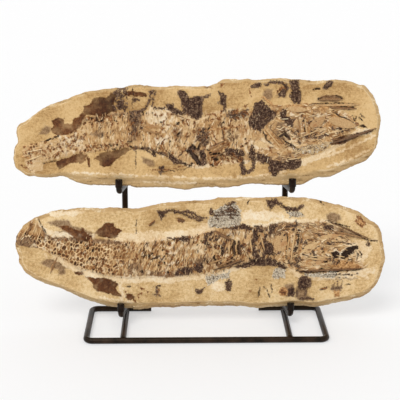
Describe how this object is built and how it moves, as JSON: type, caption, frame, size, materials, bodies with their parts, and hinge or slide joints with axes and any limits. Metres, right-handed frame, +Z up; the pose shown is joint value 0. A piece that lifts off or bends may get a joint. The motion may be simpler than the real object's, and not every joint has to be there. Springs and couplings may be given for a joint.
{
  "type": "fossil fish nodule halves on a display stand",
  "caption": "Split fossil fish nodule, its matching flat stone faces held upright in tiers on a low bent-rod display stand with sleeved hooks.",
  "frame": {"origin": "middle of the underside of the part's box, on the surface that the base stands on", "axes": "+X along the stones towards the fish's head, +Y away from the viewer, to the back of the stand, +Z up"},
  "size_m": [0.493, 0.1343, 0.3318],
  "materials": {
    "limestone": "rough, tan, with dark brown, grey and honey fossil markings",
    "painted_steel": "satin dark bronze",
    "vinyl_sleeve": "glossy dark"
  },
  "bodies": {
    "root": {"base_frame": "painted_steel", "left_upright": "painted_steel", "right_upright": "painted_steel", "upper_left_hook": "painted_steel", "upper_right_hook": "painted_steel", "lower_left_hook": "painted_steel", "lower_right_hook": "painted_steel", "upper_left_sleeve": "vinyl_sleeve", "upper_right_sleeve": "vinyl_sleeve", "lower_left_sleeve": "vinyl_sleeve", "lower_right_sleeve": "vinyl_sleeve", "upper_slab": "limestone", "lower_slab": "limestone"}
  },
  "joints": []
}
